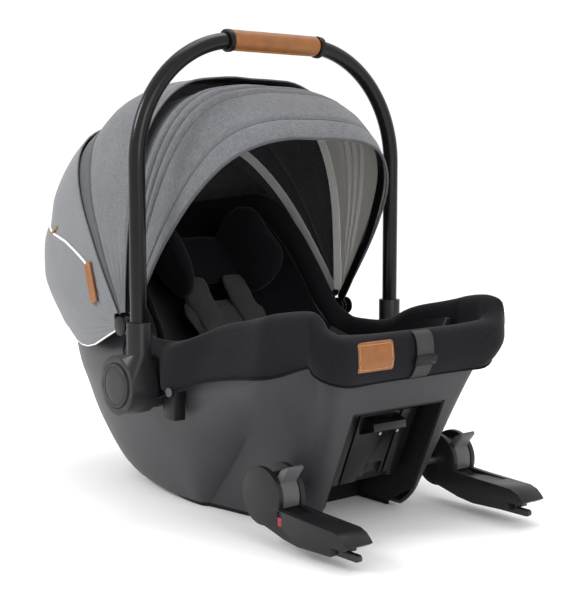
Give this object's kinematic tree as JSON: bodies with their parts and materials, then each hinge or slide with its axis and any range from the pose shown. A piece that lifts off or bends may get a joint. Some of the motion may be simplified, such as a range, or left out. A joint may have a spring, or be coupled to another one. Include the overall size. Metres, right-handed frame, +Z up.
{
  "type": "infant car seat",
  "caption": "Rear-facing infant car seat: padded tub shell, folding grey hood, arched carry handle on two hubs, harness, and fold-out vehicle anchor connectors at the foot end.",
  "frame": {"origin": "on the floor, on the seat's middle plane, 10 mm in front of the handle's pivot axis", "axes": "+X to the seat's right seen from its foot end, +Y to the head end, +Z up; the anchor connectors point to -Y"},
  "size_m": [0.4566, 0.6963, 0.5924],
  "materials": {
    "shell_plastic": "moulded satin",
    "dark_plastic": "moulded satin",
    "foam": "bead foam",
    "liner_cloth": "soft knit over foam",
    "leather": "tan, stitched",
    "dark_webbing": "woven",
    "grey_webbing": "woven",
    "buckle_plastic": "moulded",
    "red_plastic": "moulded",
    "steel": "zinc plated",
    "handle_paint": "satin powder coat",
    "hub_plastic": "moulded satin",
    "hood_cloth": "grey melange weave",
    "hoop_plastic": "moulded",
    "arm_plastic": "moulded satin",
    "blackened_steel": "blackened",
    "tab_plastic": "moulded satin"
  },
  "bodies": {
    "shell": {"outer_shell": "shell_plastic", "recess_tray": "dark_plastic", "recess_plate": "dark_plastic", "recess_catch": "dark_plastic", "recess_screws": "steel", "base_plate": "dark_plastic", "foam_bucket": "foam", "seat_liner": "liner_cloth", "rim_cover": "liner_cloth", "leather_tag": "leather", "adjuster_strap": "dark_webbing", "strap_keeper": "dark_webbing", "insert_back_pad": "liner_cloth", "insert_seat_pad": "liner_cloth", "crotch_strap": "dark_webbing", "buckle_body": "buckle_plastic", "tongue_left": "steel", "tongue_right": "steel", "shoulder_strap_left": "grey_webbing", "shoulder_strap_right": "grey_webbing", "shoulder_pad_left": "liner_cloth", "shoulder_pad_right": "liner_cloth", "lap_strap_left": "grey_webbing", "lap_strap_right": "grey_webbing", "hub_mount_left": "dark_plastic", "hub_mount_right": "dark_plastic", "hub_pins": "steel", "adapter_socket_left": "dark_plastic", "adapter_socket_right": "dark_plastic", "hood_mounts": "dark_plastic", "hood_rear_cloth": "hood_cloth", "arm_pins": "steel"},
    "handle": {"handle_tube": "handle_paint", "handle_grip": "leather", "grip_collars": "dark_plastic", "hub_housing_left": "hub_plastic", "hub_housing_right": "hub_plastic"},
    "hood_main": {"hood_main_hoop": "hoop_plastic", "hood_main_cloth": "hood_cloth"},
    "hood_visor": {"hood_visor_hoop": "hoop_plastic", "hood_visor_cloth": "hood_cloth"},
    "headrest": {"headrest_shell": "dark_plastic", "headrest_pad": "liner_cloth"},
    "buckle_button": {"buckle_button": "red_plastic"},
    "hub_button_left": {"hub_button_left": "hub_plastic"},
    "arm_left": {"arm_left": "arm_plastic", "latch_plate_left": "blackened_steel"},
    "release_tab_left": {"release_tab_left": "tab_plastic"},
    "hook_left": {"hook_left": "blackened_steel"},
    "latch_flag_left": {"latch_flag_left": "red_plastic"},
    "hub_button_right": {"hub_button_right": "hub_plastic"},
    "arm_right": {"arm_right": "arm_plastic", "latch_plate_right": "blackened_steel"},
    "release_tab_right": {"release_tab_right": "tab_plastic"},
    "hook_right": {"hook_right": "blackened_steel"},
    "latch_flag_right": {"latch_flag_right": "red_plastic"}
  },
  "joints": [
    {"name": "handle_fold", "type": "hinge", "parent": "shell", "child": "handle", "pos_m": [0, 0.01, 0.165], "axis": [-1, 0, 0], "range_deg": [0, 108]},
    {"name": "hood_fold", "type": "hinge", "parent": "shell", "child": "hood_main", "pos_m": [0, 0.062, 0.228], "axis": [-1, 0, 0], "range_deg": [0, 42]},
    {"name": "visor_fold", "type": "hinge", "parent": "hood_main", "child": "hood_visor", "pos_m": [0, 0.062, 0.228], "axis": [-1, 0, 0], "range_deg": [0, 40]},
    {"name": "headrest_slide", "type": "slide", "parent": "shell", "child": "headrest", "axis": [0, 0.749, 0.6626], "range_m": [0, 0.045]},
    {"name": "buckle_press", "type": "slide", "parent": "shell", "child": "buckle_button", "axis": [0, 0.5, -0.866], "range_m": [0, 0.003], "stiffness_N_per_m": 1200},
    {"name": "hub_press_left", "type": "slide", "parent": "handle", "child": "hub_button_left", "axis": [1, 0, 0], "range_m": [0, 0.004], "stiffness_N_per_m": 900},
    {"name": "arm_fold_left", "type": "hinge", "parent": "shell", "child": "arm_left", "pos_m": [-0.14, -0.18, 0.058], "axis": [1, 0, 0], "range_deg": [0, 155]},
    {"name": "hook_close_left", "type": "hinge", "parent": "arm_left", "child": "hook_left", "pos_m": [-0.14, -0.293, 0.0325], "axis": [1, 0, 0], "range_deg": [0, 24]},
    {"name": "tab_pull_left", "type": "hinge", "parent": "arm_left", "child": "release_tab_left", "pos_m": [-0.14, -0.18, 0.058], "axis": [-1, 0, 0], "range_deg": [0, 10]},
    {"name": "flag_slide_left", "type": "slide", "parent": "arm_left", "child": "latch_flag_left", "axis": [0, 0, 1], "range_m": [0, 0.0055]},
    {"name": "hub_press_right", "type": "slide", "parent": "handle", "child": "hub_button_right", "axis": [-1, 0, 0], "range_m": [0, 0.004], "stiffness_N_per_m": 900},
    {"name": "arm_fold_right", "type": "hinge", "parent": "shell", "child": "arm_right", "pos_m": [0.14, -0.18, 0.058], "axis": [1, 0, 0], "range_deg": [0, 155]},
    {"name": "hook_close_right", "type": "hinge", "parent": "arm_right", "child": "hook_right", "pos_m": [0.14, -0.293, 0.0325], "axis": [1, 0, 0], "range_deg": [0, 24]},
    {"name": "tab_pull_right", "type": "hinge", "parent": "arm_right", "child": "release_tab_right", "pos_m": [0.14, -0.18, 0.058], "axis": [-1, 0, 0], "range_deg": [0, 10]},
    {"name": "flag_slide_right", "type": "slide", "parent": "arm_right", "child": "latch_flag_right", "axis": [0, 0, 1], "range_m": [0, 0.0055]}
  ],
  "couplings": [
    {"joint": "tab_pull_left", "follows": "hook_close_left", "ratio": 0.4},
    {"joint": "flag_slide_left", "follows": "hook_close_left", "m_per_rad": 0.0129},
    {"joint": "tab_pull_right", "follows": "hook_close_right", "ratio": 0.4},
    {"joint": "flag_slide_right", "follows": "hook_close_right", "m_per_rad": 0.0129}
  ]
}
